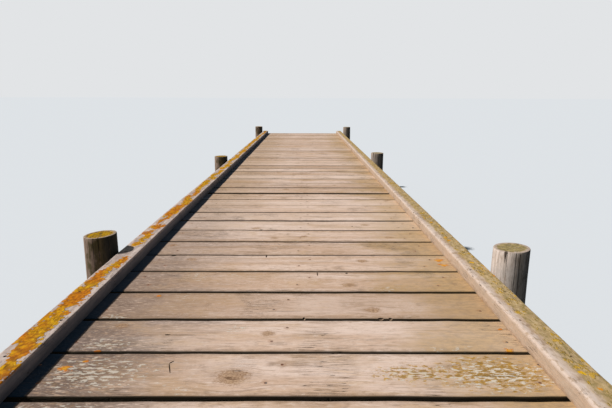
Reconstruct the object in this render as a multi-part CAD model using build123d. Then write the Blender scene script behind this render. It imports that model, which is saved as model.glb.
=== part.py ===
"""Timber jetty: cross boards on stringers, carried by bearers let into round piles, with a low kerb down each edge.

Lengths are in millimetres. X runs across the walkway, Y along it towards the open water, and Z up.
The origin is midway along the jetty, at the level of the pile feet.
"""

import os

from build123d import *

# Deck boards
deck_height = 1000  # top of the boards above the pile feet
deck_width = 1500
board_width = 197
board_thickness = 45
board_gap = 10
board_edge_radius = 4
boards_per_section = 29
section_gap = 14  # wider gap where the two sections of deck meet
board_groups_per_section = 2

# Kerbs
kerb_width = 86
kerb_height = 48
kerb_inner_radius = 12
kerb_outer_radius = 5
kerb_joint_gap = 6
kerb_lap_boards = 1  # boards of the shore section that the outer kerbs reach over

# Stringers
stringer_width = 75
stringer_depth = 150
stringer_inset = 50  # outer face of an edge stringer, in from the edge of the deck
stringer_setback = 20  # end of a stringer, in from the end of the deck
stringer_lap = 150  # length of a stringer past the middle of the bearer
stringer_notch = 15  # how far a stringer is cut down over a bearer
timber_arris = 3

# Bearers
bearer_thickness = 100
bearer_depth = 200
bearer_end = 25  # length of a bearer past the outside of its pile

# Bents, each a bearer with its two piles, counted from the open water to the shore
end_overhang = 250  # deck past the first and the last bearer
outer_bay = 4100
middle_bay = 3270

# Piles
pile_head_diameter = 133
pile_foot_diameter = 145
pile_clearance = 20  # between a pile and the edge of the deck
pile_head_radius = 5
housing_depth = 10  # how far a bearer is let into a pile
housing_clearance = 2  # over the bearer, inside its housing
pile_heads_left = (138, 87, 123, 112)  # pile heads above the deck
pile_heads_right = (146, 100, 135, 128)

section_length = boards_per_section * (board_width + board_gap) - board_gap
jetty_length = 2 * section_length + section_gap
outer_end = jetty_length / 2
shore_end = -jetty_length / 2
deck_edge = deck_width / 2
shore_section_start = shore_end + section_length
kerb_joint = shore_section_start - kerb_lap_boards * (board_width + board_gap) + board_gap / 2

board_underside = deck_height - board_thickness
stringer_underside = board_underside - stringer_depth
bearer_top = stringer_underside + stringer_notch
bearer_underside = bearer_top - bearer_depth

first_bent = outer_end - end_overhang
second_bent = first_bent - outer_bay
third_bent = second_bent - middle_bay
last_bent = shore_end + end_overhang
bents = (first_bent, second_bent, third_bent, last_bent)

mean_head = sum(pile_heads_left + pile_heads_right) / len(pile_heads_left + pile_heads_right)
seat_share = (bearer_top + bearer_underside) / 2 / (deck_height + mean_head)
pile_seat_diameter = pile_foot_diameter + seat_share * (pile_head_diameter - pile_foot_diameter)
pile_axis = deck_edge + pile_clearance + pile_head_diameter / 2
pile_offset = bearer_thickness / 2 + pile_seat_diameter / 2 - housing_depth
bearer_length = 2 * (pile_axis + pile_seat_diameter / 2 + bearer_end)

FROM_BELOW = (Align.CENTER, Align.CENTER, Align.MIN)


def timber(length_x, length_y, height, centre_x, centre_y, underside):
    """A sawn timber with its four long edges eased."""
    block = Box(length_x, length_y, height, align=FROM_BELOW)
    grain = Axis.X if length_x > length_y else Axis.Y
    block = chamfer(block.edges().filter_by(grain), timber_arris)
    return Pos(centre_x, centre_y, underside) * block


def deck_board(centre_y):
    """A board across the deck, with its two long top edges rounded."""
    board = Box(deck_width, board_width, board_thickness, align=FROM_BELOW)
    top_edges = board.faces().sort_by(Axis.Z)[-1].edges().filter_by(Axis.X)
    board = fillet(top_edges, board_edge_radius)
    return Pos(0, centre_y, board_underside) * board


def section_boards(section_start):
    """The boards of one section of deck, from its end nearer the open water towards the shore."""
    first_centre = section_start - board_width / 2
    pitch = board_width + board_gap
    return [deck_board(first_centre - number * pitch) for number in range(boards_per_section)]


def top_edge(rail, place):
    """The top long edge on one side of a kerb: place is 0 for the side of lowest X and -1 for the highest."""
    return rail.edges().filter_by(Axis.Y).group_by(Axis.X)[place].sort_by(Axis.Z)[-1]


def kerb(side, outer, inner):
    """A kerb on the edge of the deck, between two places along it; side is -1 on the left and 1 on the right."""
    rail = Box(kerb_width, outer - inner, kerb_height, align=FROM_BELOW)
    rail = fillet(top_edge(rail, 0), kerb_inner_radius)
    rail = fillet(top_edge(rail, -1), kerb_outer_radius)
    rail = Pos(deck_edge - kerb_width / 2, (outer + inner) / 2, deck_height) * rail
    return rail if side > 0 else mirror(rail, Plane.YZ)


def bearer(bent):
    """The cross timber of a bent, let into the pile at each of its ends."""
    return timber(bearer_length, bearer_thickness, bearer_depth, 0, bent, bearer_underside)


def pile(side, bent, towards_water, head):
    """A round pile beside the deck, housed for its bearer; towards_water is 1 or -1, the side of the bearer it is on."""
    post = Cone(pile_foot_diameter / 2, pile_head_diameter / 2, deck_height + head, align=FROM_BELOW)
    rim = post.edges().filter_by(GeomType.CIRCLE).sort_by(Axis.Z)[-1]
    post = fillet(rim, pile_head_radius)
    post = Pos(side * pile_axis, bent + towards_water * pile_offset, 0) * post
    housing = Box(2 * pile_foot_diameter, bearer_thickness, bearer_depth + housing_clearance, align=FROM_BELOW)
    return post - Pos(side * pile_axis, bent, bearer_underside) * housing


def stringer(line_x, outer, inner, crossed_bents):
    """A lengthwise timber under the boards, cut down over the bearers that it crosses."""
    beam = timber(stringer_width, outer - inner, stringer_depth, line_x, (outer + inner) / 2, stringer_underside)
    notch = Box(2 * stringer_width, bearer_thickness, stringer_notch, align=FROM_BELOW)
    for bent in crossed_bents:
        beam -= Pos(line_x, bent, stringer_underside) * notch
    return beam


def stringer_lines(shift):
    """Places across the deck of the three stringers of a bay; shift is 0 or 1, so that those of two bays lap."""
    edge_line = deck_edge - stringer_inset - stringer_width / 2 - shift * stringer_width
    return {"left": -edge_line, "middle": (shift - 0.5) * stringer_width, "right": edge_line}


def build():
    """Every piece of the jetty by name, as a shape of one or more solids."""
    pieces = {}

    for name, start in (("outer", outer_end), ("shore", shore_section_start)):
        boards = section_boards(start)
        group_size = -(-len(boards) // board_groups_per_section)
        for group in range(board_groups_per_section):
            members = boards[group * group_size : (group + 1) * group_size]
            pieces[f"deck_boards_{name}_{group + 1}"] = Compound(children=members)

    for side_name, side in (("left", -1), ("right", 1)):
        pieces[f"kerb_{side_name}_outer"] = kerb(side, outer_end, kerb_joint + kerb_joint_gap / 2)
        pieces[f"kerb_{side_name}_shore"] = kerb(side, kerb_joint - kerb_joint_gap / 2, shore_end)

    for number, bent in enumerate(bents, start=1):
        pieces[f"bearer_{number}"] = bearer(bent)
        left_side = 1 if number % 2 else -1
        pieces[f"pile_left_{number}"] = pile(-1, bent, left_side, pile_heads_left[number - 1])
        pieces[f"pile_right_{number}"] = pile(1, bent, -left_side, pile_heads_right[number - 1])

    bays = (
        ("outer_bay", outer_end - stringer_setback, second_bent - stringer_lap, bents[:2], 0),
        ("middle_bay", second_bent + stringer_lap, third_bent - stringer_lap, bents[1:3], 1),
        ("shore_bay", third_bent + stringer_lap, shore_end + stringer_setback, bents[2:], 0),
    )
    for bay_name, outer, inner, crossed_bents, shift in bays:
        for line_name, line_x in stringer_lines(shift).items():
            pieces[f"stringer_{line_name}_{bay_name}"] = stringer(line_x, outer, inner, crossed_bents)

    return pieces


os.makedirs("parts", exist_ok=True)
for node, shape in build().items():
    export_step(shape, f"parts/{node}.step")
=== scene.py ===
"""Looks of the timber jetty: its worn boards, kerbs, piles, nails and bolts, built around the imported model.

Lengths are in metres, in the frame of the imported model: X across the walkway, Y towards the open water, Z up.
Colours are written as they look, from 0 to 255.
"""

import math
import random

import bpy
from mathutils import Matrix, Vector
from mathutils.bvhtree import BVHTree


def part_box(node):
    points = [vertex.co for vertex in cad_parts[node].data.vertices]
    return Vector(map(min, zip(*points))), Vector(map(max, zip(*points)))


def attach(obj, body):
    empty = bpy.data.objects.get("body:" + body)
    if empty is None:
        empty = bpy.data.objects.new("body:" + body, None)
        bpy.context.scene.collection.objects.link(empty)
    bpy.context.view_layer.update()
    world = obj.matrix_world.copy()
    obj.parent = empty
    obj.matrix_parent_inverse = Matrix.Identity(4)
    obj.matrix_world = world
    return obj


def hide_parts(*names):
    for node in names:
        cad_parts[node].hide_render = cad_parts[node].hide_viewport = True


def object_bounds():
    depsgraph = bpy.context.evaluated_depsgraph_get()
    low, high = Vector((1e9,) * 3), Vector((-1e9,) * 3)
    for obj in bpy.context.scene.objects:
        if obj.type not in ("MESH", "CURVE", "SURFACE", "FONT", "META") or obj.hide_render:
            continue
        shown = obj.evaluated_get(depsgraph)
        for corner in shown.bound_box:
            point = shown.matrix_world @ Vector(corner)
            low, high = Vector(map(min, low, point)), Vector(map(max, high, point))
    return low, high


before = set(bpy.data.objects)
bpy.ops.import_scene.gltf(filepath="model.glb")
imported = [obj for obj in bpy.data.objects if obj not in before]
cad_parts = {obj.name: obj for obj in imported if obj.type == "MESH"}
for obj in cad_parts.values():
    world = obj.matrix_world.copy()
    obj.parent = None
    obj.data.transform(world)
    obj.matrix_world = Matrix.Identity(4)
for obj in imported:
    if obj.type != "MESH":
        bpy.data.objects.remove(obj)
cad_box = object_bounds()

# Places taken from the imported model
DECK_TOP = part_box("deck_boards_shore_1")[1].z
BOARD_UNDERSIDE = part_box("deck_boards_shore_1")[0].z
DECK_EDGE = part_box("deck_boards_shore_1")[1].x
DECK_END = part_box("deck_boards_outer_1")[1].y
KERB_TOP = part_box("kerb_left_shore")[1].z
KERB_WIDTH = DECK_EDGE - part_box("kerb_right_shore")[0].x
KERB_INNER = DECK_EDGE - KERB_WIDTH
BEARER_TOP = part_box("bearer_1")[1].z
BEARER_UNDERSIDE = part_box("bearer_1")[0].z
PILE_LINE = (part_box("pile_right_1")[0].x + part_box("pile_right_1")[1].x) / 2
MIDDLE_BAY_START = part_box("stringer_middle_middle_bay")[0].y
MIDDLE_BAY_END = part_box("stringer_middle_middle_bay")[1].y

# The way the boards are laid
BOARD_WIDTH = 0.197
BOARD_GAP = 0.010
BOARD_PITCH = BOARD_WIDTH + BOARD_GAP
BOARD_ARRIS = 0.005
BOARDS_PER_SECTION = 29
BOARD_GROUPS = 2
SECTION_GAP = 0.014
WORN_JOINT = (-0.044, -0.004)  # the gap between the two sections, wide and worn
# Gaps on the shore side of that joint, counted from it: how far each is off an even spacing, and its width
GAP_SHIFTS = (-0.030, 0.000, 0.006, 0.006, 0.016, 0.014, 0.018, 0.019, 0.011, -0.003, 0.001, -0.001)
GAP_WIDTHS = (0.003, 0.003, 0.0165, 0.0175, 0.003, 0.011, 0.0045, 0.008, 0.0105, 0.0125, 0.0075, 0.017)
# Widths of the gaps on the other side of the joint, counted from it
OUTER_GAP_WIDTHS = (0.016, 0.009, 0.016, 0.003, 0.018, 0.003, 0.021, 0.003, 0.006, 0.022, 0.009, 0.010)
# How dark the boards on each side of the joint are, counted from it, from 0 to 1
BOARD_TONES = {
    "outer": (0.6, 0.7, 0.5, 0.0, 0.6, 0.3, 1.0, 0.2, 0.3, 0.7, 0.6, 0.4),
    "shore": (0.5, 0.2, 0.3, 0.2, 0.2, 0.4, 0.6, 0.4, 0.5, 0.7, 0.3, 0.4),
}
# Chips and cracks that show in the near boards: place across, place along, half width and half length,
# and for some of them a turn in degrees
NEAR_CHIPS = (
    (0.038, -2.068, 0.005, 0.009), (0.285, -2.067, 0.01, 0.006), (0.316, -2.068, 0.007, 0.007),
    (-0.03, -1.858, 0.006, 0.006), (0.21, -1.66, 0.006, 0.006), (-0.19, -1.018, 0.01, 0.009),
    (-0.13, -1.452, 0.0035, 0.016), (0.092, -1.668, 0.003, 0.022), (-0.545, -1.444, 0.012, 0.006),
    (0.632, -0.97, 0.004, 0.012), (0.302, -0.945, 0.003, 0.01), (-0.368, -2.178, 0.01, 0.0035),
    (-0.325, -2.179, 0.045, 0.0016), (-0.314, -2.357, 0.0019, 0.026, 18),
    (-0.317, -2.327, 0.0022, 0.009, -40),
)
CHIP_DEPTH = 0.007
CHECK_DEPTH = 0.012

# Nails: two through each board into each stringer, and one through each kerb into each board
EDGE_NAIL_LINE = 0.645
MIDDLE_NAIL_LINE = -0.0375
KERB_NAIL_LINES = (0.681, 0.724)
LAP_SHIFT = 0.075  # how far inwards the stringers of the middle bay lie
NAIL_SPREAD = 0.04  # along the jetty, from the middle of a board
NAIL_STAGGER = 0.022  # across it, from the line of the nails
NAIL_DRIFT = 0.006
NAIL_RADIUS = 0.004
NAIL_HEIGHT = 0.003
NAIL_SIDES = 10
DECK_NAIL_DEPTHS = (0.0003, 0.0012)  # least and most depth of a nail below the wood
KERB_NAIL_DEPTHS = (0.0015, 0.0035)

# Kerbs
KERB_INNER_ARRIS = {"left": 0.004, "right": 0.009}
KERB_OUTER_ARRIS = 0.006
# As it shows, the left kerb is low near the shore and bows outwards farther on: the place along it where that
# changes, over what length, and by how much
LOW_PART = (-1.95, 0.2, 0.002)
BOWED_PART = (-1.55, 0.35, 0.007)
# Patches of lichen on the near part of the left kerb: place across, place along, half width and half length
KERB_LICHEN = (
    (-0.68, -2.47, 0.03, 0.055), (-0.695, -2.39, 0.015, 0.02), (-0.7, -2.33, 0.035, 0.035),
    (-0.72, -2.26, 0.035, 0.065), (-0.705, -2.22, 0.03, 0.035), (-0.705, -2.14, 0.035, 0.04),
    (-0.74, -2.16, 0.01, 0.025), (-0.72, -2.09, 0.02, 0.025), (-0.71, -2.03, 0.04, 0.055),
    (-0.72, -2.00, 0.04, 0.05), (-0.71, -1.96, 0.035, 0.05), (-0.715, -1.9, 0.04, 0.06),
    (-0.715, -1.85, 0.025, 0.035), (-0.72, -1.79, 0.03, 0.055), (-0.7, -1.72, 0.03, 0.035),
    (-0.695, -1.65, 0.02, 0.06), (-0.71, -1.39, 0.03, 0.045), (-0.705, -1.31, 0.02, 0.025),
    (-0.725, -1.26, 0.035, 0.03), (-0.71, -1.14, 0.04, 0.055), (-0.725, -1.02, 0.015, 0.06),
    (-0.71, -0.93, 0.02, 0.05), (-0.73, -0.86, 0.02, 0.06), (-0.73, -0.73, 0.02, 0.11),
)
# Pale flaking lichen on the near boards, in the same way
DECK_LICHEN = (
    (-0.5, -2.38, 0.17, 0.085), (-0.53, -2.235, 0.09, 0.028), (0.53, -2.38, 0.18, 0.09),
    (-0.36, -2.38, 0.06, 0.018), (0.33, -2.38, 0.13, 0.045), (-0.53, -2.55, 0.16, 0.05),
    (-0.579, -2.06, 0.05, 0.02), (-0.16, -2.137, 0.035, 0.016),
)
# Yellow and orange spots on the near boards: place across, place along and radius
DECK_SPOTS = (
    (-0.591, -2.355, 0.012), (-0.552, -2.322, 0.006), (-0.538, -2.274, 0.006), (0.615, -2.268, 0.009),
    (-0.48, -1.888, 0.006), (0.64, -2.14, 0.005), (0.625, -1.5, 0.014), (0.63, -1.56, 0.012),
)
# Knots in the near boards, in the same way, and how many a metre of board may have elsewhere
DECK_KNOTS = (
    (-0.147, -2.4, 0.019), (0.268, -2.005, 0.012), (-0.525, -2.12, 0.012), (-0.07, -2.17, 0.01),
    (0.29, -1.51, 0.011), (0.038, -1.132, 0.009), (0.205, -1.786, 0.012),
)
KNOTS_PER_METRE = 1.3

# Piles
PILE_TAPER = 0.006  # how much smaller the radius is at the head than at the foot
PILE_ARRIS = 0.0035
GRAIN_STRETCH = 5  # how far the grain draws out their wear
HEAD_FROM = 0.9  # a height that only their heads are above
HEAD_DISH = 0.004  # how hollow a head is
HEAD_RINGS = (0.006, 0.01, 0.014, 0.014)  # widths of the rings of faces on a head
SEAT_CLEARANCE = 0.002
# Splits that show in the heads: the way each points, in degrees from X, its width, its depth and its length
HEAD_SPLITS = {
    "pile_right_3": ((229, 0.016, 0.03, 0.07), (262, 0.004, 0.04, 0.3)),
    "pile_right_2": ((224, 0.012, 0.05, 0.1),),
    "pile_left_3": ((285, 0.004, 0.03, 0.16),),
}
# Slant of the sawn heads, in degrees, rising towards the deck
HEAD_SLANTS = {"pile_left_3": 4, "pile_right_3": -3, "pile_left_2": 1, "pile_right_4": 2}

# Bolts
BOLT_INSET = 0.05  # from the top or the underside of the bearer
BOLT_ARRIS = 0.0013
PLATE_WIDTH = 0.048
PLATE_THICKNESS = 0.004
# Radius, number of sides, and start and end along the bolt, from the bearer's face for the head and from the
# face of the pile's foot for the others
BOLT_HEAD = (0.015, 6, -0.015, -0.004)
WASHER = (0.022, 24, -0.009, -0.001)
NUT = (0.015, 6, -0.001, 0.013)
THREAD = (0.008, 16, 0.005, 0.023)

# The view of the photograph, which is 612 by 408 pixels
PICTURE_WIDTH = 612
FOCAL_PIXELS = 480
SENSOR_WIDTH = 36
CAMERA_RIGHT = 0.0375
CAMERA_ALONG = -3.4926
CAMERA_HEIGHT = 0.6939
LOOK_DOWN = 12.561
LOOK_RIGHT = 0.231
CAMERA_ROLL = 0.17

# The light and the floor
SUN_HEIGHT = 46
SUN_BEHIND = 1
SUN_STRENGTH = 3.8
SUN_SPREAD = 2.5
SKY_STRENGTH = 0.13
SKY_COLOUR = (0.72, 0.88, 1.0, 1.0)
BACKDROP = (226, 228, 230)
FLOOR_RADIUS = 900


def only(*pieces):
    """Selects these pieces and nothing else, with the first one active."""
    bpy.ops.object.select_all(action="DESELECT")
    for piece in pieces:
        piece.select_set(True)
    bpy.context.view_layer.objects.active = pieces[0]


def settle(piece):
    """Puts a piece's place, turn and size into its mesh, so that its object sits at the origin."""
    only(piece)
    bpy.ops.object.transform_apply(location=True, rotation=True, scale=True)


def joined(pieces, name):
    """Several pieces made one."""
    only(*pieces)
    if len(pieces) > 1:
        bpy.ops.object.join()
    settle(pieces[0])
    pieces[0].name = name
    pieces[0].data.name = name
    return pieces[0]


def copies(piece, places, turns=None):
    """Copies of a piece at several places, each with its own mesh; the piece itself is used up."""
    made = []
    for number, place in enumerate(places):
        copy = piece.copy()
        copy.data = piece.data.copy()
        copy.location = place
        copy.rotation_euler = (0, 0, turns[number] if turns else 0)
        bpy.context.collection.objects.link(copy)
        made.append(copy)
    bpy.data.objects.remove(piece)
    return made


def begin(operator, **settings):
    """One of Blender's primitive shapes to work from, with its place and turn in its mesh."""
    bpy.ops.object.select_all(action="DESELECT")
    operator(**settings)
    piece = bpy.context.object
    settle(piece)
    return piece


def put(piece, place, size=(1, 1, 1), turn=(0, 0, 0)):
    """Moves, sizes and turns a piece."""
    piece.location = place
    piece.scale = size
    piece.rotation_euler = turn
    settle(piece)
    return piece


def block(place, size):
    """A block to work from, centred on a place."""
    return put(begin(bpy.ops.mesh.primitive_cube_add, size=1), place, size)


def rod(place, radius, length, sides, top_radius=None, turn=(0, 0, 0)):
    """A round or many-sided rod to work from, centred on a place and along Z before it is turned."""
    top_radius = radius if top_radius is None else top_radius
    shape = {"vertices": sides, "radius1": radius, "radius2": top_radius, "depth": length}
    return begin(bpy.ops.mesh.primitive_cone_add, **shape, location=place, rotation=turn)


def pip(place, half_length, half_width, half_depth, turn=0):
    """A long rounded shape along X, or turned by some degrees, to cut a check or a chip with."""
    lying = (0, math.pi / 2, 0)
    ball = begin(bpy.ops.mesh.primitive_uv_sphere_add, segments=12, ring_count=6, radius=1, rotation=lying)
    return put(ball, place, (half_length, half_width, half_depth), (0, 0, math.radians(turn)))


def modify(piece, kind, **settings):
    """Adds a modifier to a piece and applies it."""
    modifier = piece.modifiers.new(kind.lower(), kind)
    for name, value in settings.items():
        setattr(modifier, name, value)
    only(piece)
    bpy.ops.object.modifier_apply(modifier=modifier.name)


def cut(piece, cutter):
    """Takes the shape of another piece out of this one, and uses the other up."""
    modify(piece, "BOOLEAN", operation="DIFFERENCE", solver="MANIFOLD", object=cutter)
    bpy.data.objects.remove(cutter)


def select_where(piece, parts, test):
    """In edit mode, selects the edges or faces of a piece that pass a test, and nothing else."""
    bpy.ops.object.mode_set(mode="OBJECT")
    mesh = piece.data
    for kind in (mesh.vertices, mesh.edges, mesh.polygons):
        kind.foreach_set("select", [False] * len(kind))
    for part in getattr(mesh, parts):
        part.select = test(part)
    bpy.ops.object.mode_set(mode="EDIT")
    bpy.ops.mesh.select_mode(type="EDGE" if parts == "edges" else "FACE")


def select_top(piece):
    """Selects the faces of a piece that face up."""
    select_where(piece, "polygons", lambda face: face.normal.z > 0.97)


def edges_where(piece, test):
    """Selects the edges whose two ends pass a test."""
    points = piece.data.vertices
    select_where(piece, "edges", lambda edge: test(*(points[number].co for number in edge.vertices)))


def runs_along(axis):
    """A test for edges that lie along one axis, 0 for X, 1 for Y and 2 for Z."""
    def test(first, second):
        way = second - first
        return way.length > 0 and abs(way[axis]) > 0.98 * way.length
    return test


def divide(piece, axis, cuts):
    """Divides the edges of a piece that lie along one axis."""
    edges_where(piece, runs_along(axis))
    bpy.ops.mesh.subdivide(number_cuts=cuts)


def mark(piece, name, value_at):
    """Gives each point of a piece a number worked out from its place, for its finish to read."""
    marks = piece.data.attributes.new(name, "FLOAT", "POINT")
    marks.data.foreach_set("value", [value_at(point.co) for point in piece.data.vertices])


def roughen(piece, texture, direction, strength):
    """Pushes the surface of a piece to and fro by a cloud texture."""
    modify(piece, "DISPLACE", texture=texture, direction=direction, strength=strength, mid_level=0.5)


def push(piece, name, direction, distance, share_at):
    """Moves each point of a piece by a share of a distance, worked out from its place."""
    group = piece.vertex_groups.new(name=name)
    for point in piece.data.vertices:
        group.add([point.index], share_at(point.co), "REPLACE")
    modify(piece, "DISPLACE", direction=direction, strength=distance, mid_level=0, vertex_group=name)


def top_of(piece):
    """A way to find how high the top of a piece lies at any place."""
    points = [point.co for point in piece.data.vertices]
    faces = [face.vertices for face in piece.data.polygons]
    surface = BVHTree.FromPolygons(points, faces)
    return lambda x, y: surface.ray_cast(Vector((x, y, 2)), Vector((0, 0, -1)))[0].z


def cover(patches):
    """How far a point lies inside any of several oval patches: 1 in the middle of one and 0 outside them."""
    def inside(point, x, y, half_x, half_y):
        return 1 - math.hypot((point.x - x) / half_x, (point.y - y) / half_y)
    return lambda point: max(0.0, *(inside(point, *patch) for patch in patches))


def waviness(name, size):
    """A cloud texture for a Displace modifier, with features of about this size."""
    texture = bpy.data.textures.new(name, "CLOUDS")
    texture.noise_scale = size
    texture.noise_depth = 2
    return texture


BOARD_WARP = waviness("board_warp", 0.45)
EDGE_WEAR = waviness("edge_wear", 0.09)
FINE_WEAR = waviness("fine_wear", 0.025)
KERB_WARP = waviness("kerb_warp", 0.8)
POLE_SHAPE = waviness("pole_shape", 0.12)


def shade(piece, finish, angle=35):
    """Smooths a finished piece, gives it its finish and lets it ride on the jetty's one body."""
    only(piece)
    bpy.ops.object.shade_smooth_by_angle(angle=math.radians(angle))
    piece.data.materials.clear()
    piece.data.materials.append(finish)
    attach(piece, "root")


# Finishes


def paint(red, green, blue):
    """A colour as it looks, from 0 to 255, as the linear colour that a shader takes."""
    def linear(value):
        share = value / 255
        return share / 12.92 if share <= 0.04045 else ((share + 0.055) / 1.055) ** 2.4
    return (linear(red), linear(green), linear(blue), 1.0)


def sum_method(operation, turned=False):
    """A method of Value that adds a Math node for a sum with another value, which comes first if turned."""
    def method(self, other):
        values = (other, self) if turned else (self, other)
        return self.finish.math(operation, *values)
    return method


class Value:
    """A value in a finish. Sums with numbers and other values add the Math nodes for them."""

    __add__ = sum_method("ADD")
    __radd__ = sum_method("ADD", turned=True)
    __sub__ = sum_method("SUBTRACT")
    __rsub__ = sum_method("SUBTRACT", turned=True)
    __mul__ = sum_method("MULTIPLY")
    __rmul__ = sum_method("MULTIPLY", turned=True)
    __truediv__ = sum_method("DIVIDE")

    def __init__(self, finish, socket):
        self.finish = finish
        self.socket = socket

    def __abs__(self):
        return self.finish.math("ABSOLUTE", self)

    def rise(self, low, high):
        """0 below low and 1 above high, with a soft step between. Low above high turns it round."""
        inputs = {"Value": self, "From Min": low, "From Max": high}
        return self.finish.add("MapRange", inputs, interpolation_type="SMOOTHSTEP")

    def tones(self, low, high, under, over):
        """Two colours mixed, from all of the first at low to all of the second at high."""
        return self.finish.mix(self.rise(low, high), under, over)


class Finish:
    """The shader nodes of a material or of the world in the making, and the colour that they come to."""

    def __init__(self, holder):
        holder.use_nodes = True
        self.holder = holder
        self.tree = holder.node_tree
        self.tree.nodes.clear()
        self.colour = None

    def add(self, kind, inputs=(), output=0, **settings):
        """Adds a node: its type, the values or links of its sockets by name or in order, and its settings."""
        node = self.tree.nodes.new(f"ShaderNode{kind}")
        for name, value in settings.items():
            setattr(node, name, value)
        pairs = inputs.items() if isinstance(inputs, dict) else enumerate(inputs)
        for key, value in pairs:
            if isinstance(value, Value):
                self.tree.links.new(value.socket, node.inputs[key])
            else:
                node.inputs[key].default_value = value
        if node.outputs:
            return Value(self, node.outputs[output])

    def math(self, operation, *values):
        return self.add("Math", values, operation=operation)

    def attribute(self, name):
        return self.add("Attribute", output="Fac", attribute_name=name)

    def split(self, vector):
        return [self.add("SeparateXYZ", [vector], axis) for axis in range(3)]

    def place(self):
        """The point on the surface, in the piece's own coordinates, as three values."""
        return self.split(self.add("TexCoord", output="Object"))

    def facing(self):
        """The way the surface faces, as three values."""
        return self.split(self.add("NewGeometry", output="Normal"))

    def vector(self, x, y, z=0.0):
        return self.add("CombineXYZ", [x, y, z])

    def length(self, x, y, z=0.0):
        return self.add("VectorMath", [self.vector(x, y, z)], "Value", operation="LENGTH")

    def noise(self, where, scale, detail=2.0, roughness=0.5):
        inputs = {"Vector": self.vector(*where), "Scale": scale, "Detail": detail, "Roughness": roughness}
        return self.add("TexNoise", inputs, "Fac")

    def cells(self, where, scale, output="Distance"):
        """Scattered cells: how far a point is from the middle of its cell, or a colour that the cell has."""
        return self.add("TexVoronoi", {"Vector": self.vector(*where), "Scale": scale}, output)

    def random(self, seed):
        """A number from 0 to 1 that belongs to a seed."""
        return self.add("TexWhiteNoise", {"W": seed}, "Value", noise_dimensions="1D")

    def mix(self, share, *colours):
        """Two colours mixed, from all of the first at 0 to all of the second at 1."""
        under, over = (paint(*colour) if isinstance(colour, tuple) else colour for colour in colours)
        return self.add("Mix", {0: share, 6: under, 7: over}, 2, data_type="RGBA")

    def lay(self, share, over):
        """Lays a colour over what there is so far."""
        self.colour = self.mix(share, self.colour, over)

    def spots(self, where, scale, share, reach):
        """1 inside round spots, in this share of the cells of a scattered pattern, and 0 between them."""
        chance = self.split(self.cells(where, scale, "Color"))[0]
        return self.cells(where, scale).rise(reach, reach * 0.75) * chance.rise(share, share - 0.01)

    def surface(self, roughness, height, depth, specular=0.25):
        """Makes the material of the colour so far, this roughness and a relief of this depth."""
        bump = self.add("Bump", {"Strength": 1.0, "Distance": depth, "Height": height})
        inputs = {"Roughness": roughness, "Specular IOR Level": specular, "Normal": bump}
        shader = self.add("BsdfPrincipled", {"Base Color": self.colour, **inputs})
        self.add("OutputMaterial", {"Surface": shader})
        return self.holder


def new_finish(name):
    return Finish(bpy.data.materials.new(name))


def deck_knots(wood, x, y, across, seed, mottle, blotch):
    """The knots of the boards, some as they show and others by chance, and how the grain bends round them."""
    along = x * KNOTS_PER_METRE + seed * 23
    strip = {"W": along, "Scale": 1, "Randomness": 0.7}
    chance, size, offset = wood.split(wood.add("TexVoronoi", strip, "Color", voronoi_dimensions="1D"))
    from_knot = (along - wood.add("TexVoronoi", strip, "W", voronoi_dimensions="1D")) / KNOTS_PER_METRE
    off_near_boards = wood.length(x, (y + 2.3) / 0.5).rise(1.1, 1.3)
    here = chance.rise(0.4, 0.41) * off_near_boards
    found = [(from_knot, across - (offset - 0.5) * 0.15, size * 0.008 + 0.007, here)]
    found += [(x - knot_x, y - knot_y, radius, 1) for knot_x, knot_y, radius in DECK_KNOTS]
    knot = core = rim = bend = 0
    for from_x, from_y, radius, share in found:
        reach = wood.length(from_x * 0.8, from_y) / radius
        fuzzy = reach + (mottle - 0.5) * 4.5 + (blotch - 0.5) * 2
        knot = knot + fuzzy.rise(1.9, 0.5) * share
        core = core + fuzzy.rise(0.4, -0.4) * share
        rim = rim + fuzzy.rise(0.6, 1) * fuzzy.rise(2.4, 1) * share
        bend = bend + reach.rise(5, 0.3) * from_y * share
    return knot, core, rim, bend


def deck_rust(wood, x, across, middle, ragged):
    """Rust round the nails of the boards."""
    lap = middle.rise(MIDDLE_BAY_START - 0.001, MIDDLE_BAY_START + 0.001)
    lap = lap * middle.rise(MIDDLE_BAY_END + 0.001, MIDDLE_BAY_END - 0.001)
    stagger = wood.math("SIGN", across) * NAIL_STAGGER
    from_edge_line = abs(x) - EDGE_NAIL_LINE + lap * LAP_SHIFT - stagger
    from_middle_line = x - MIDDLE_NAIL_LINE - lap * LAP_SHIFT - stagger
    from_line = wood.math("MINIMUM", abs(from_edge_line), abs(from_middle_line))
    from_nail = wood.length(from_line, abs(across) - NAIL_SPREAD)
    return (from_nail + (ragged - 0.5) * 0.02).rise(0.013, 0.004)


def deck_sides(wood, point, seed, tone, mottle, blotch):
    """Rough grey fibres on the left, ochre on the right and, farther off, on the left; says where."""
    x, y, z = point
    left = (x + (blotch - 0.5) * 0.7).rise(-0.12, -0.62) * (1 - y.rise(-2.45, -0.8) * 0.52)
    fibres = wood.noise((x * 0.25, y, z), 170, 3, 0.65)
    greyed = left * fibres.rise(0.28, 0.52)
    wood.lay(greyed * 0.97, wood.mix(tone, (106, 90, 82), (128, 106, 92)))
    wood.lay(left * fibres.rise(0.6, 0.7) * 0.5, (206, 188, 174))
    wisps = wood.noise((x * 0.35 + seed * 9, y, z), 60, 4, 0.7)
    wood.lay(left * wisps.rise(0.52, 0.66) * 0.55, (92, 72, 58))
    wood.lay(left * wisps.rise(0.44, 0.32) * 0.4, (196, 172, 154))
    right = (x + (blotch - 0.5) * 0.7 + y.rise(-0.2, -1.5) * 0.1).rise(0.3, 0.7)
    wood.lay(right * 0.8, mottle.tones(0.3, 0.7, (156, 126, 84), (202, 164, 112)))
    wood.lay(left * y.rise(-1.2, 0.3) * 0.5, (222, 182, 130))
    return left, right, greyed * fibres


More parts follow.
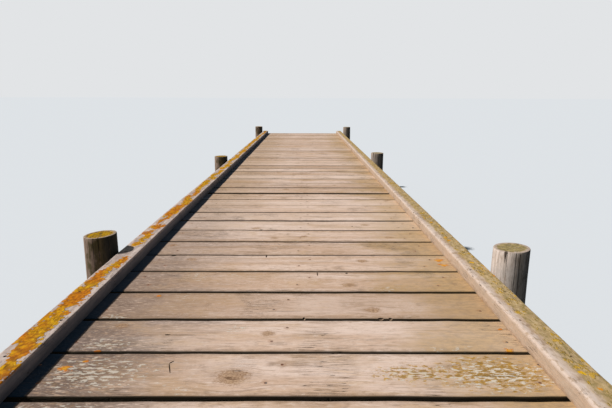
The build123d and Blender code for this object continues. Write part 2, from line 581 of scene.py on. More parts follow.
def deck_lichen(wood, point, ragged, blotch, right):
    """Pale flaking lichen with ochre between its flecks, and orange spots; says how thick it is."""
    x, y, z = point
    lichen = wood.attribute("lichen")
    flecks = wood.noise((x * 0.4, y, z + 3), 125, 3, 0.6)
    ochre = flecks.tones(0.4, 0.6, (146, 108, 44), (208, 156, 58))
    has_ochre = (ragged + lichen * 0.22).rise(0.56, 0.64) * lichen.rise(0, 0.12)
    wood.lay(has_ochre * (0.14 + x.rise(-0.2, 0.2) * 0.72), ochre)
    scatter = blotch.rise(0.62, 0.78) * 0.35
    flake = (flecks + lichen * 0.13 + scatter * 0.2).rise(0.59, 0.64) * (lichen + scatter).rise(0, 0.15)
    wood.lay(flake * (0.72 + right * 0.13), (218, 206, 190))
    spot = 0
    for spot_x, spot_y, radius in DECK_SPOTS:
        reach = wood.length((x - spot_x) * 0.8, y - spot_y) / radius
        spot = spot + (reach + (ragged - 0.5) * 5).rise(1.2, 0.8)
    orange = ragged.tones(0.4, 0.6, (208, 116, 20), (226, 164, 40))
    wood.lay(spot * 0.92 + wood.spots(point, 14, 0.1, 0.07) * 0.6, orange)
    return flake * 0.25 + spot * 0.3


def deck_finish():
    """Bare boards, bleached pink and tan by the weather, greyer on the left, with lichen in places."""
    wood = new_finish("weathered_deck")
    point = wood.place()
    x, y, z = point
    facing_x, facing_y, facing_z = wood.facing()
    middle = wood.attribute("middle")
    tone = wood.attribute("tone")
    seed = wood.random(middle)
    across = y - middle
    mottle = wood.noise((x * 0.45, y, z), 75, 4, 0.7)
    blotch = wood.noise((x * 0.8 + seed * 5, y * 1.6, seed * 3), 4, 4, 0.6)
    knot, core, rim, bend = deck_knots(wood, x, y, across, seed, mottle, blotch)

    # The rings lie round a pith under the board, so that its face shows streaks and its ends show arcs
    wander = wood.noise((x * 0.6 + seed * 31, seed * 7), 1.6, 2)
    from_pith = across - bend * 0.8 + (seed - 0.5) * 0.16 + (wander - 0.5) * 0.07
    ring = wood.length(from_pith, z - DECK_TOP + 0.03 + tone * 0.1)
    grain = (x * 0.05 + seed * 47, ring, seed * 13)
    fine = wood.noise(grain, 430, 3, 0.6)
    streak = wood.noise(grain, 120, 2, 0.55)
    broad = wood.noise(grain, 30, 2, 0.5)
    fibre = wood.noise((x * 0.09, y, z), 150, 3, 0.7)

    wood.colour = broad.tones(0.34, 0.64, (208, 172, 144), (232, 204, 186))
    wood.lay(streak.rise(0.58, 0.74) * 0.45, (208, 168, 116))
    wood.lay(streak.rise(0.46, 0.3) * 0.65, (156, 126, 102))
    wood.lay(blotch.rise(0.48, 0.68) * 0.62, (184, 146, 104))
    wood.lay(fibre.rise(0.52, 0.7) * 0.42, (160, 132, 110))
    wood.lay(fibre.rise(0.46, 0.32) * 0.42, (238, 218, 204))
    wood.lay(mottle.rise(0.52, 0.7) * 0.45, (162, 132, 106))
    wood.lay(mottle.rise(0.46, 0.32) * 0.35, (236, 216, 200))
    dirt = (abs(across) + (mottle - 0.5) * 0.06).rise(0.074, 0.1)
    wood.lay(dirt * 0.45, (130, 104, 78))

    left, right, rough_fibres = deck_sides(wood, point, seed, tone, mottle, blotch)
    wood.lay(fine.rise(0.45, 0.3) * 0.42, (122, 98, 80))
    wood.lay(tone.rise(0.35, 1) * 0.45, (166, 136, 112))
    wood.lay(tone.rise(0.55, 0) * (1 - left * 0.8) * 0.34, (240, 216, 200))

    # Drying checks along the grain, and the knots
    thin = wood.noise((x * 0.05 + seed * 19, y, seed * 5), 120, 1, 0.4)
    hollow = wood.noise(point, 5, 1).rise(0.57, 0.65)
    check = thin.rise(0.486, 0.495) * thin.rise(0.512, 0.503) * hollow
    wood.lay(check * 0.7, (66, 50, 38))
    grit = wood.noise((x * 0.7, y, z), 210, 3, 0.7)
    wood.lay(knot * 0.72, grit.tones(0.36, 0.62, (138, 100, 68), (192, 154, 116)))
    wood.lay(core * 0.8, (96, 66, 42))
    wood.lay(rim * grit.rise(0.62, 0.42) * 0.6, (138, 100, 66))

    ragged = wood.noise((x * 0.5, y, z), 80, 4, 0.7)
    lichen_relief = deck_lichen(wood, point, ragged, blotch, right)
    wood.lay(deck_rust(wood, x, across, middle, ragged) * 0.3, (150, 98, 58))

    # Gap sides darkened, partly for dampness and partly as painted shade, undersides, a painted shadow along
    # the left kerb, and end grain
    damp_and_gap_shade = abs(facing_y).rise(0.15, 0.65) * z.rise(DECK_TOP + 0.002, DECK_TOP - 0.003)
    inner = abs(y).rise(DECK_END - 0.005, DECK_END - 0.03)
    wood.lay(damp_and_gap_shade * inner * 0.94, (32, 27, 14))
    # Painted shadow: a dark blue strip of deck beside the left kerb, where the kerb's shadow falls
    painted_kerb_shadow = (x + (mottle - 0.5) * 0.01).rise(-KERB_INNER + 0.044, -KERB_INNER + 0.034)
    wood.lay(painted_kerb_shadow * facing_z.rise(0.5, 0.8) * inner * 0.92, (8, 46, 68))
    under = facing_z.rise(-0.2, -0.7)
    wood.lay(under, wood.mix(streak, (104, 84, 62), (142, 120, 94)))
    cut_end = fine.tones(0.4, 0.6, (98, 82, 68), (156, 136, 116))
    wood.lay(abs(facing_x).rise(0.6, 0.8) * 0.8, cut_end)

    height = (fine + streak) * 0.35 + lichen_relief + rough_fibres * 0.5 + mottle * 0.2 - check * 0.9
    return wood.surface(0.8 + fine * 0.15, height, 0.0022, 0.1)


def left_kerb_lichen(wood, point, mottle, crust, blotch):
    """Where crusts of orange lichen grow on the left kerb, and their colour."""
    patch = wood.attribute("lichen")
    lobes = wood.cells(point, 70)
    spread = patch + (0.45 - lobes) * 0.6 + (crust - 0.5) * 1.1
    yellow = mottle.tones(0.36, 0.6, (178, 120, 0), (224, 168, 4))
    orange = mottle.tones(0.36, 0.6, (162, 88, 0), (210, 126, 2))
    golden = (blotch + point[1].rise(-1.5, 0.5) * 0.08).rise(0.4, 0.6)
    crusted = wood.mix(lobes.rise(0.45, 0.7) * 0.55, wood.mix(golden, orange, yellow), (132, 78, 0))
    return spread.rise(0.08, 0.14) * patch.rise(0, 0.04), crusted


def right_kerb_lichen(wood, point, mottle, crust, blotch, film):
    """An olive film with yellow lichen and specks on the right kerb; says where the lichen is."""
    x, y, z = point
    wood.lay(film * 0.75, crust.tones(0.4, 0.58, (166, 138, 88), (190, 160, 104)))
    wood.lay(film * mottle.rise(0.5, 0.62) * 0.6, (132, 118, 66))
    wood.lay(film * mottle.rise(0.45, 0.36) * 0.6, (212, 184, 140))
    lichen = (crust * 0.7 + blotch * 0.3 + (mottle - 0.5) * 0.4).rise(0.53, 0.6) * film
    wood.lay(lichen * 0.7, (210, 162, 40))
    uneven = (x + (mottle - 0.5) * 0.02, y + (crust - 0.5) * 0.04, z)
    specks = wood.spots(uneven, 27, 0.26, 0.27) * film
    wood.lay(specks * 0.9, blotch.tones(0.48, 0.56, (216, 140, 20), (228, 182, 12)))
    return lichen


def kerb_finish(side_name, side):
    """Kerb timber: grey-pink with orange lichen on the left, an olive film and yellow specks on the right."""
    wood = new_finish(f"kerb_timber_{side_name}")
    point = wood.place()
    x, y, z = point
    facing_x, _, _ = wood.facing()
    middle_x = side * (DECK_EDGE - KERB_WIDTH / 2)
    ring = wood.length(x - middle_x + 0.02, z - KERB_TOP + 0.06)
    grain = (ring, y * 0.05)
    fine = wood.noise(grain, 430, 3, 0.6)
    streak = wood.noise(grain, 130, 2, 0.55)
    blotch = wood.noise(point, 9, 4, 0.6)
    mottle = wood.noise((x, y * 0.5, z), 90, 4, 0.7)
    crust = wood.noise((x, y * 0.62, z), 46, 5, 0.65)
    outward = (x * side - KERB_INNER) / KERB_WIDTH
    top = z.rise(KERB_TOP - 0.01, KERB_TOP - 0.003)

    if side < 0:
        wood.colour = streak.tones(0.35, 0.65, (176, 156, 146), (210, 190, 178))
    else:
        wood.colour = streak.tones(0.35, 0.65, (186, 156, 128), (210, 186, 164))
    wood.lay(fine.rise(0.46, 0.3) * 0.55, (116, 96, 82))
    wood.lay(blotch.rise(0.5, 0.75) * 0.4, (150, 132, 118))
    wood.lay(mottle.rise(0.5, 0.68) * 0.45, (142, 120, 100))
    wood.lay(mottle.rise(0.46, 0.32) * 0.35, (232, 216, 202))

    if side < 0:
        lichen, crusted = left_kerb_lichen(wood, point, mottle, crust, blotch)
        lichen = lichen * top
        specks = wood.spots(point, 60, 0.22, 0.26) * top
        wood.lay(specks * 0.6, (200, 150, 30))
        # Painted shade: the inner face of the left kerb, which faces away from the key light, is painted dark
        # blue-grey, darker still towards its foot
        inner_face_with_painted_shade = wood.mix(streak, (98, 102, 114), (134, 136, 146))
        inner_face_with_painted_shade = wood.mix(z.rise(DECK_TOP + 0.03, DECK_TOP + 0.002) * 0.6, inner_face_with_painted_shade, (54, 64, 78))
        wood.lay(facing_x.rise(0.5, 0.85) * 0.85, inner_face_with_painted_shade)
    else:
        film = (outward + (crust - 0.5) * 0.3).rise(0.28, 0.42) * top
        lichen = right_kerb_lichen(wood, point, mottle, crust, blotch, film)
        inner_face_with_painted_shade = streak.tones(0.4, 0.6, (194, 170, 148), (174, 150, 127))
        # Painted shade: a dark brown line along the foot of the inner face, where it meets the deck
        painted_foot_shade = (z + (crust - 0.5) * 0.05).rise(DECK_TOP + 0.011, DECK_TOP + 0.002)
        inner_face_with_painted_shade = wood.mix(painted_foot_shade * 0.6, inner_face_with_painted_shade, (136, 98, 58))
        wood.lay(facing_x.rise(-0.6, -0.9) * 0.6, inner_face_with_painted_shade)
    # The inner top edge is paler with wear; the outer arris gets a painted highlight in the same pale colour
    worn = (outward + (mottle - 0.5) * 0.3).rise(0.3, 0.14) * z.rise(KERB_TOP - 0.014, KERB_TOP - 0.004)
    outer_arris_highlight = outward.rise(0.93, 0.985) * top
    wood.lay((worn * 0.55 + outer_arris_highlight * 0.5) * mottle.rise(0.62, 0.5), (216, 196, 184))
    if side < 0:
        wood.lay(lichen * 0.97, crusted)

    thin = wood.noise((x, y * 0.04, z), 150, 1, 0.4)
    check = thin.rise(0.488, 0.496) * thin.rise(0.511, 0.503) * blotch.rise(0.5, 0.6)
    wood.lay(check * 0.8, (58, 46, 40))
    height = fine * 0.3 + streak * 0.3 + mottle * (0.15 + lichen * 0.8) + lichen * 0.2 - check * 0.8
    return wood.surface(0.82 + fine * 0.12, height, 0.0025, 0.06)


def pile_head(wood, from_centre, rim, right, crust, blotch):
    """The colour of a sawn head: rings round the pith, a pale rim and a crust of lichen."""
    ring = wood.noise((from_centre + (blotch - 0.5) * 0.006, 0), 330, 1)
    sawn = ring.tones(0.4, 0.6, (148, 130, 108), (182, 162, 142))
    inside = (from_centre + (crust - 0.5) * 0.03).rise(0.06, 0.05)
    olive = crust.tones(0.4, 0.62, (130, 114, 74), (174, 152, 104))
    gold = crust.tones(0.4, 0.56, (86, 64, 10), (184, 138, 8))
    patchy = inside * (crust + blotch * 0.4).rise(0.5, 0.6)
    return wood.mix(patchy, wood.mix(0.5, sawn, rim), wood.mix(right, gold, olive))


def pile_finish():
    """Round timber: pale and grey on the right-hand piles, olive brown on the left, lichen on the heads."""
    wood = new_finish("pile_timber")
    point = wood.place()
    x, y, z = point
    facing_x, _, facing_z = wood.facing()
    fibre = (x, y, z * 0.05)
    fine = wood.noise(fibre, 430, 3, 0.6)
    streak = wood.noise(fibre, 75, 2, 0.55)
    blotch = wood.noise(point, 14, 4, 0.6)
    crust = wood.noise(point, 60, 4, 0.6)
    right = x.rise(-0.1, 0.1)
    from_axis = x - wood.math("SIGN", x) * PILE_LINE

    pale = streak.tones(0.32, 0.6, (204, 188, 174), (230, 214, 202))
    brown = streak.tones(0.36, 0.66, (148, 123, 105), (184, 157, 137))
    wood.colour = wood.mix(right, brown, pale)
    wisp = wood.noise((x, y, z * 0.22), 85, 4, 0.7)
    wood.lay(wisp.rise(0.5, 0.66) * 0.5, wood.mix(right, (84, 70, 50), (146, 118, 94)))
    wood.lay(fine.rise(0.46, 0.3) * 0.5, (84, 68, 56))
    green = (streak * 0.4 + blotch * 0.6 + from_axis * 1.6).rise(0.42, 0.52) * (1 - right * 0.8)
    wood.lay(green * 0.75, (72, 66, 18))
    drips = wood.noise((x, y, z * 0.02 + 5), 55, 2, 0.5)
    drip = drips.rise(0.5, 0.6) * (z + (blotch - 0.5) * 0.1).rise(DECK_TOP + 0.04, DECK_TOP + 0.11)
    wood.lay(drip * (0.7 - right * 0.55), (58, 46, 30))
    dull = y.rise(-0.6, 0.6) * right
    wood.lay(dull * 0.55, wood.mix(streak, (104, 88, 70), (146, 126, 106)))
    # Painted shade: the side of each pile that faces away from the key light is darkened to a blue-black
    painted_shade = (facing_x + (wisp - 0.5) * 0.5).rise(0.15, 0.75)
    wood.lay(painted_shade * 0.84, (34, 41, 45))
    wet = (z + (blotch - 0.5) * 0.25).rise(0.66, 0.4)
    wood.lay(wet * 0.75, (58, 52, 38))

    rim = wood.mix(right, (176, 152, 134), (208, 184, 170))
    on_head = facing_z.rise(0.75, 0.92)
    from_centre = wood.length(from_axis, y - wood.attribute("middle"))
    wood.lay(on_head, pile_head(wood, from_centre, rim, right, crust, blotch))
    edge = facing_z.rise(0.25, 0.6) * facing_z.rise(0.97, 0.8)
    wood.lay(edge * 0.7, rim)
    height = fine * 0.3 + streak * 0.15 + wisp * 0.2 + on_head * crust * 0.6
    return wood.surface(0.85 + fine * 0.1, height, 0.003, 0.12)


def frame_finish():
    """Sawn timbers under the deck, dark with dampness, with a green tinge low down and paler end grain."""
    wood = new_finish("under_deck_timber")
    point = wood.place()
    x, y, z = point
    facing_x, facing_y, _ = wood.facing()
    on_bearer = z.rise(BEARER_TOP, BEARER_TOP - 0.015)
    lengthwise = wood.noise((x, y * 0.05, z), 170, 3, 0.6)
    crosswise = wood.noise((x * 0.05, y, z), 170, 3, 0.6)
    grain = lengthwise * (1 - on_bearer) + crosswise * on_bearer
    blotch = wood.noise(point, 6, 4, 0.6)
    wood.colour = grain.tones(0.35, 0.65, (110, 90, 70), (154, 132, 108))
    wood.lay(blotch.rise(0.45, 0.7) * 0.5, (90, 78, 62))
    wood.lay((z + (blotch - 0.5) * 0.2).rise(0.8, 0.62) * 0.5, (84, 82, 52))
    end = abs(facing_x) * on_bearer + abs(facing_y) * (1 - on_bearer)
    from_pith = wood.length(x * (1 - on_bearer) + y * on_bearer, z - BEARER_UNDERSIDE)
    rings = wood.noise((from_pith, 0), 240, 1)
    sawn_end = rings.tones(0.4, 0.6, (88, 72, 56), (142, 122, 98))
    wood.lay(end.rise(0.7, 0.9), sawn_end)
    return wood.surface(0.82 + grain * 0.1, grain * 0.8 + blotch * 0.2, 0.002)


def steel_finish(name, bright, rust_from):
    """Galvanised or bare steel with rust, which starts at this level of its pattern: lower is rustier."""
    steel = new_finish(name)
    point = steel.place()
    patches = steel.noise(point, 120, 4, 0.6)
    grit = steel.noise(point, 420, 3, 0.6)
    rust = patches.rise(rust_from, rust_from + 0.1)
    rust_colour = grit.tones(0.4, 0.6, (88, 50, 32), (142, 84, 50))
    steel.colour = steel.mix(rust, steel.mix(grit * 0.3, bright, (90, 92, 94)), rust_colour)
    return steel.surface(0.45 + rust * 0.4, patches * 0.5 + grit * 0.5, 0.0005, 0.5)


# Deck boards


def board_spans():
    """The near and far edge of every board, by section, from the end nearer the open water."""
    chance = random.Random(7)
    spans = {}
    for section, first_edge in (("outer", DECK_END), ("shore", -SECTION_GAP / 2)):
        edges = []
        far = first_edge if section == "outer" else WORN_JOINT[0]
        for number in range(BOARDS_PER_SECTION):
            even = first_edge - number * BOARD_PITCH - BOARD_WIDTH - BOARD_GAP / 2
            shift = chance.uniform(-0.003, 0.003)
            width = BOARD_GAP + chance.uniform(-0.003, 0.005)
            from_joint = BOARDS_PER_SECTION - 2 - number
            if section == "shore" and number < len(GAP_SHIFTS):
                shift = GAP_SHIFTS[number]
                width = GAP_WIDTHS[number]
            if section == "outer" and 0 <= from_joint < len(OUTER_GAP_WIDTHS):
                width = OUTER_GAP_WIDTHS[from_joint]
            near = even + shift + width / 2
            if number == BOARDS_PER_SECTION - 1:
                near = WORN_JOINT[1] if section == "outer" else even + BOARD_GAP / 2
            edges.append((near, far))
            far = even + shift - width / 2
        spans[section] = edges
    return spans


BOARD_SPANS = board_spans()


def board(near, far, chance):
    """One worn board across the deck."""
    middle = (far + near) / 2
    thickness = DECK_TOP - BOARD_UNDERSIDE
    piece = block((0, 0, -thickness / 2), (2 * DECK_EDGE - chance.uniform(0, 0.006), far - near, thickness))

    def long_top_edge(first, second):
        return min(first.z, second.z) > -0.001 and runs_along(0)(first, second)

    edges_where(piece, long_top_edge)
    bpy.ops.mesh.bevel(offset=BOARD_ARRIS * chance.uniform(0.7, 1.4), segments=3, affect="EDGES")
    divide(piece, 0, 59)
    divide(piece, 1, 6)
    bpy.ops.object.mode_set(mode="OBJECT")
    tilt = math.radians(chance.uniform(-0.35, 0.35))
    skew = math.radians(chance.uniform(-0.1, 0.1))
    return put(piece, (0, middle, DECK_TOP + chance.uniform(-0.0012, 0.0008)), turn=(tilt, 0, skew))


def nearest(middles):
    """For any point of a group of boards, the middle of the board that it belongs to."""
    return lambda point: min(middles, key=lambda middle: abs(point.y - middle))


def board_tone(section, number):
    """How dark a board is: as it shows near the joint of the deck, and by chance farther off."""
    from_joint = number if section == "shore" else BOARDS_PER_SECTION - 1 - number
    if from_joint < len(BOARD_TONES[section]):
        return BOARD_TONES[section][from_joint]
    return random.Random(number).random()


def nail_places(near, far):
    """Where the nails of a board stand, over the three stringers, which lie inwards in the middle bay."""
    middle = (near + far) / 2
    shift = LAP_SHIFT if MIDDLE_BAY_START < middle < MIDDLE_BAY_END else 0
    edge_line = EDGE_NAIL_LINE - shift
    chance = random.Random(round(middle * 1000))
    places = []
    for way in (-1, 1):
        stagger = way * NAIL_STAGGER
        for x in (-edge_line - stagger, MIDDLE_NAIL_LINE + shift + stagger, edge_line + stagger):
            drift_x = chance.uniform(-NAIL_DRIFT, NAIL_DRIFT)
            places.append((x + drift_x, middle + way * NAIL_SPREAD + chance.uniform(-NAIL_DRIFT, NAIL_DRIFT)))
    return places


def board_cutters(members, nails_here, chance):
    """What is worn out of a group of boards: drying checks, chipped edges and nail holes."""
    cutters = []
    for near, far in members:
        for _ in range(chance.randint(0, 2)):
            place = (chance.uniform(-0.6, 0.6), chance.uniform(near + 0.03, far - 0.03), DECK_TOP)
            half_length = chance.uniform(0.025, 0.11)
            cutters.append(pip(place, half_length, chance.uniform(0.0006, 0.0015), CHECK_DEPTH))
        chips = [chip for chip in NEAR_CHIPS if near < chip[1] < far]
        if not chips and chance.random() < 0.6:
            radius = chance.uniform(0.004, 0.008)
            place = (chance.uniform(-0.6, 0.6), chance.choice((near + 0.002, far - 0.002)))
            chips = [(*place, radius * chance.uniform(0.8, 1.8), radius)]
        for x, y, half_x, half_y, *turn in chips:
            cutters.append(pip((x, y, DECK_TOP), half_x, half_y, CHIP_DEPTH, *turn))
    holes = copies(rod((0, 0, 0), NAIL_RADIUS * 1.05, 0.007, NAIL_SIDES), nails_here)
    return joined(cutters + holes, "board_cutters")


def deck_boards(finish):
    """The boards of both sections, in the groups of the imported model; says where their nails come out."""
    chance = random.Random(11)
    nail_tops = []
    for section, edges in BOARD_SPANS.items():
        group_size = math.ceil(len(edges) / BOARD_GROUPS)
        for group in range(BOARD_GROUPS):
            first = group * group_size
            members = edges[first : first + group_size]
            boards = [board(near, far, chance) for near, far in members]
            piece = joined(boards, f"worn_boards_{section}_{group + 1}")
            roughen(piece, BOARD_WARP, "Z", 0.0035)
            roughen(piece, EDGE_WEAR, "Y", 0.003)
            roughen(piece, EDGE_WEAR, "Z", 0.0014)
            top = top_of(piece)
            nails_here = [(x, y, top(x, y)) for near, far in members for x, y in nail_places(near, far)]
            nail_tops += nails_here
            cut(piece, board_cutters(members, nails_here, chance))
            tones = {}
            for number, (near, far) in enumerate(members, start=first):
                tones[(near + far) / 2] = board_tone(section, number)
            board_at = nearest(tones)
            mark(piece, "middle", board_at)
            mark(piece, "tone", lambda point: tones[board_at(point)])
            mark(piece, "lichen", cover(DECK_LICHEN))
            shade(piece, finish)
            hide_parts(f"deck_boards_{section}_{group + 1}")
    return nail_tops


def nails(name, finish, tops, depths):
    """Nails at these places, with their heads between two depths below the wood."""
    chance = random.Random(31)
    head = rod((0, 0, -NAIL_HEIGHT / 2), NAIL_RADIUS, NAIL_HEIGHT, NAIL_SIDES)
    select_top(head)
    bpy.ops.mesh.inset(thickness=NAIL_RADIUS * 0.35, depth=NAIL_RADIUS * 0.12)
    bpy.ops.object.mode_set(mode="OBJECT")
    places = [(x, y, z - chance.uniform(*depths)) for x, y, z in tops]
    shade(joined(copies(head, places), name), finish)


# Kerbs


def kerb_nail_places(edges):
    """Where the nails through the kerbs stand: one over each board, on two lines in turn."""
    places = []
    for number, (near, far) in enumerate(edges):
        for side in (-1, 1):
            places.append((side * KERB_NAIL_LINES[number % 2], (near + far) / 2))
    return places


def left_kerb_patches():
    """The lichen patches of the left kerb: those that show near the shore end, then scattered ones."""
    chance = random.Random(5)
    patches = list(KERB_LICHEN)
    for start, end in ((-0.8, 6.0), (-6.0, -2.6)):
        y = start
        while y < end:
            x = -DECK_EDGE + chance.uniform(0.02, 0.055)
            patches.append((x, y, chance.uniform(0.018, 0.034), chance.uniform(0.05, 0.14)))
            y += chance.uniform(0.05, 0.15)
    return patches


def bend_left_kerb(piece):
    """Lowers the near part of the left kerb and bows the rest of it outwards."""
    def beyond(point, place, reach):
        return (1 + math.tanh((point.y - place) / reach)) / 2

    def low_share(point):
        height = min(1, max(0, (point.z - DECK_TOP) / (KERB_TOP - DECK_TOP)))
        return height * (1 - beyond(point, *LOW_PART[:2]))

    push(piece, "low_part", "Z", -LOW_PART[2], low_share)
    push(piece, "bowed_part", "X", -BOWED_PART[2], lambda point: beyond(point, *BOWED_PART[:2]))


def kerb(side_name, side, section, finish):
    """One kerb timber, slightly bowed, with worn arrises and nail holes; says where its nails come out."""
    low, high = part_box(f"kerb_{side_name}_{section}")
    piece = block((low + high) / 2, high - low)

    def top_edge_at(distance):
        def test(first, second):
            beside = abs(abs(first.x) - distance) < 0.001
            return beside and min(first.z, second.z) > KERB_TOP - 0.001 and runs_along(1)(first, second)
        return test

    edges_where(piece, top_edge_at(KERB_INNER))
    bpy.ops.mesh.bevel(offset=KERB_INNER_ARRIS[side_name], segments=4, affect="EDGES")
    edges_where(piece, top_edge_at(DECK_EDGE))
    bpy.ops.mesh.bevel(offset=KERB_OUTER_ARRIS, segments=4, affect="EDGES")
    divide(piece, 0, 9)
    divide(piece, 1, 399)
    bpy.ops.object.mode_set(mode="OBJECT")
    roughen(piece, KERB_WARP, "X", 0.004)
    roughen(piece, EDGE_WEAR, "NORMAL", 0.003)
    roughen(piece, FINE_WEAR, "NORMAL", 0.0012)
    if side < 0:
        bend_left_kerb(piece)
    top = top_of(piece)
    places = [place for edges in BOARD_SPANS.values() for place in kerb_nail_places(edges)]
    nail_tops = [(x, y, top(x, y)) for x, y in places if x * side > 0 and low.y < y < high.y]
    hole = rod((0, 0, 0), NAIL_RADIUS * 1.15, 0.01, NAIL_SIDES)
    cut(piece, joined(copies(hole, nail_tops), "kerb_holes"))
    if side < 0:
        mark(piece, "lichen", cover(left_kerb_patches()))
    shade(piece, finish)
    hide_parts(f"kerb_{side_name}_{section}")
    piece.name = f"worn_kerb_{side_name}_{section}"
    return nail_tops


def kerbs():
    """The four kerb timbers; says where their nails come out."""
    nail_tops = []
    for side_name, side in (("left", -1), ("right", 1)):
        finish = kerb_finish(side_name, side)
        for section in ("outer", "shore"):
            nail_tops += kerb(side_name, side, section, finish)
    return nail_tops


# Piles


def bearer_beside(node):
    """The lowest and highest corner of a pile's bearer, and the side of the bearer that the pile is on."""
    low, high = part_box(f"bearer_{node[-1]}")
    pile_low, pile_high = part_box(node)
    middle = (low.y + high.y) / 2
    return low, high, 1 if pile_high.y - middle > middle - pile_low.y else -1


def pole(middle_x, middle_y, foot_radius, top, slant):
    """A round pole with a sawn head that slants by an angle, and with its surface worn along the grain."""
    head_radius = foot_radius - PILE_TAPER
    length = top - head_radius * math.tan(abs(slant))
    piece = rod((middle_x, middle_y, length / 2), foot_radius, length, 72, top_radius=head_radius)
    edges_where(piece, lambda first, second: abs(first.z - second.z) > 0.5)
    bpy.ops.mesh.subdivide(number_cuts=44)
    select_top(piece)
    bpy.ops.transform.rotate(value=slant, orient_axis="Y", center_override=(middle_x, middle_y, length))
    bpy.ops.mesh.bevel(offset=PILE_ARRIS, segments=2, affect="EDGES")
    select_top(piece)
    for step in HEAD_RINGS:
        bpy.ops.mesh.inset(thickness=step)
    bpy.ops.mesh.poke()
    bpy.ops.object.mode_set(mode="OBJECT")

    # The cloud texture is drawn out along the pile by flattening the pile while its surface is pushed about
    put(piece, (0, 0, 0), (1, 1, 1 / GRAIN_STRETCH))
    roughen(piece, POLE_SHAPE, "X", 0.006)
    roughen(piece, EDGE_WEAR, "Y", 0.005)
    put(piece, (0, 0, 0), (1, 1, GRAIN_STRETCH))

    def dish(point):
        from_middle = math.hypot(point.x - middle_x, point.y - middle_y)
        return max(0, 1 - from_middle / head_radius) if point.z > HEAD_FROM else 0

    push(piece, "dish", "Z", -HEAD_DISH, dish)
    return piece


def head_splits(node, chance):
    """The drying checks of a pile, widest at its head: those that show, then others by chance."""
    splits = list(HEAD_SPLITS.get(node, ()))
    first_turn = chance.uniform(0, 360)
    count = chance.randint(5, 8)
    for index in range(count):
        turn = first_turn + 360 * (index + chance.uniform(-0.3, 0.3)) / count
        width = chance.uniform(0.0015, 0.005)
        depth = chance.uniform(0.012, 0.045)
        splits.append((turn, width, depth, chance.uniform(0.1, 0.55)))
    return splits


def pile(node, finish, chance):
    """A round pile with a sawn head, drying checks and the seat for its bearer."""
    low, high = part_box(node)
    bearer_low, bearer_high, towards = bearer_beside(node)
    foot_radius = (high.x - low.x) / 2
    middle_x = (low.x + high.x) / 2
    middle_y = high.y - foot_radius if towards > 0 else low.y + foot_radius
    slant = math.radians(HEAD_SLANTS.get(node, 0))
    piece = pole(middle_x, middle_y, foot_radius, high.z, slant if middle_x < 0 else -slant)

    reach = foot_radius - PILE_TAPER + 0.003
    for turn, width, depth, length in head_splits(node, chance):
        angle = math.radians(turn)
        x = middle_x + reach * math.cos(angle)
        y = middle_y + reach * math.sin(angle)
        wedge = rod((0, 0, 0), 0, 1, 4, top_radius=1)
        cut(piece, put(wedge, (x, y, high.z + 0.01 - length / 2), (depth, width / 2, length), (0, 0, angle)))

    seat_place = (middle_x, (bearer_low.y + bearer_high.y) / 2, (BEARER_TOP + BEARER_UNDERSIDE) / 2)
    seat_height = BEARER_TOP - BEARER_UNDERSIDE + SEAT_CLEARANCE
    cut(piece, block(seat_place, (0.4, bearer_high.y - bearer_low.y, seat_height)))
    mark(piece, "middle", lambda point: middle_y)
    shade(piece, finish)
    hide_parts(node)
    piece.name = f"weathered_{node}"


def piles():
    finish = pile_finish()
    chance = random.Random(23)
    for side in ("left", "right"):
        for number in range(1, 5):
            pile(f"pile_{side}_{number}", finish, chance)


def bolt(pile_face):
    """One bolt along Y: its plate and head at the origin, its washer and nut at the pile's face."""
    def section(face, radius, sides, start, end):
        place = (0, face + (start + end) / 2, 0)
        return rod(place, radius, end - start, sides, turn=(math.pi / 2, 0, 0))

    plate = block((0, -PLATE_THICKNESS / 2, 0), (PLATE_WIDTH, PLATE_THICKNESS, PLATE_WIDTH))
    parts = [plate, section(0, *BOLT_HEAD)]
    parts += [section(pile_face, *shape) for shape in (WASHER, NUT, THREAD)]
    for part in parts:
        modify(part, "BEVEL", width=BOLT_ARRIS, segments=2)
    return joined(parts, "bolt")


def bolts(finish):
    """Two bolts through each pile and its bearer."""
    for number in range(1, 5):
        places = []
        turns = []
        for side in ("left", "right"):
            low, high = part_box(f"pile_{side}_{number}")
            bearer_low, bearer_high, towards = bearer_beside(f"pile_{side}_{number}")
            bearer_face = bearer_low.y if towards > 0 else bearer_high.y
            pile_face = abs((high.y if towards > 0 else low.y) - bearer_face)
            for height in (BEARER_UNDERSIDE + BOLT_INSET, BEARER_TOP - BOLT_INSET):
                places.append(((low.x + high.x) / 2, bearer_face, height))
                turns.append(0 if towards > 0 else math.pi)
        shade(joined(copies(bolt(pile_face), places, turns), f"bolts_bent_{number}"), finish, angle=30)


# Camera, light and floor


def camera():
    """A camera where the photograph was taken from, in its direction."""
    data = bpy.data.cameras.new("camera")
    data.sensor_width = SENSOR_WIDTH
    data.lens = FOCAL_PIXELS / PICTURE_WIDTH * SENSOR_WIDTH
    data.clip_start = 0.05
    data.clip_end = 2000
    piece = bpy.data.objects.new("camera", data)
    bpy.context.collection.objects.link(piece)
    piece.location = (CAMERA_RIGHT, CAMERA_ALONG, DECK_TOP + CAMERA_HEIGHT)
    bearing = Matrix.Rotation(math.radians(-LOOK_RIGHT), 3, "Z")
    pitch = Matrix.Rotation(math.radians(90 - LOOK_DOWN), 3, "X")
    roll = Matrix.Rotation(math.radians(CAMERA_ROLL), 3, "Z")
    piece.rotation_euler = (bearing @ pitch @ roll).to_euler()
    bpy.context.scene.camera = piece


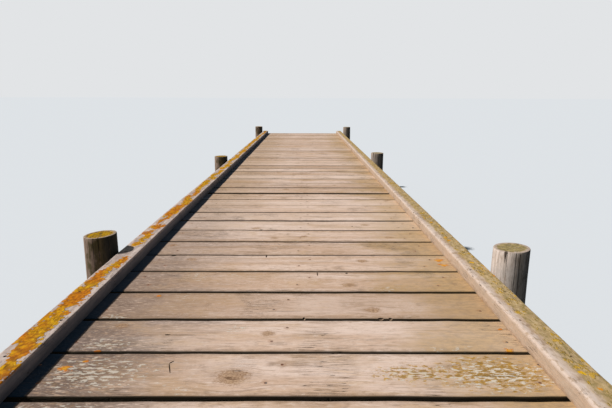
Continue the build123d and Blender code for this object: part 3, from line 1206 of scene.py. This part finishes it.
def light():
    """A soft key light from the left, a plain sky, and a pale background."""
    data = bpy.data.lights.new("key", "SUN")
    data.energy = SUN_STRENGTH
    data.angle = math.radians(SUN_SPREAD)
    key = bpy.data.objects.new("key", data)
    bpy.context.collection.objects.link(key)
    key.rotation_euler = (0, math.radians(SUN_HEIGHT - 90), math.radians(SUN_BEHIND))

    world = bpy.data.worlds.new("studio")
    bpy.context.scene.world = world
    finish = Finish(world)
    sky = finish.add("Background", {"Color": SKY_COLOUR, "Strength": SKY_STRENGTH})
    backdrop = finish.add("Background", {"Color": paint(*BACKDROP)})
    background = finish.add("MixShader", [seen(finish), sky, backdrop])
    finish.add("OutputWorld", {"Surface": background})


def seen(finish):
    """1 where the floor or the backdrop is seen, straight or in a reflection, and 0 where it gives light."""
    kinds = ("Camera", "Glossy", "Transmission")
    first, second, third = (finish.add("LightPath", output=f"Is {kind} Ray") for kind in kinds)
    return finish.math("MAXIMUM", finish.math("MAXIMUM", first, second), third)


def floor():
    """A plain floor at the pile feet, pale to the eye and darker to the light that it throws back."""
    place = (0, 0, cad_box[0].z)
    circle = bpy.ops.mesh.primitive_circle_add
    piece = begin(circle, vertices=96, radius=FLOOR_RADIUS, fill_type="NGON", location=place)
    piece.name = "floor"
    finish = new_finish("floor")
    colour = finish.mix(seen(finish), (106, 108, 111), BACKDROP)
    shader = finish.add("BsdfDiffuse", {"Color": colour})
    finish.add("OutputMaterial", {"Surface": shader})
    piece.data.materials.append(finish.holder)


bpy.context.scene.view_settings.view_transform = "Standard"
camera()
light()
floor()
deck_nail_tops = deck_boards(deck_finish())
kerb_nail_tops = kerbs()
piles()
bolts(steel_finish("galvanised_steel", (150, 154, 156), 0.55))
nail_steel = steel_finish("nail_steel", (112, 96, 84), 0.45)
nails("deck_nails", nail_steel, deck_nail_tops, DECK_NAIL_DEPTHS)
nails("kerb_nails", nail_steel, kerb_nail_tops, KERB_NAIL_DEPTHS)

under_deck = frame_finish()
for node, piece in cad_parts.items():
    if node.startswith(("bearer", "stringer")):
        for slot in piece.material_slots:
            slot.material = under_deck
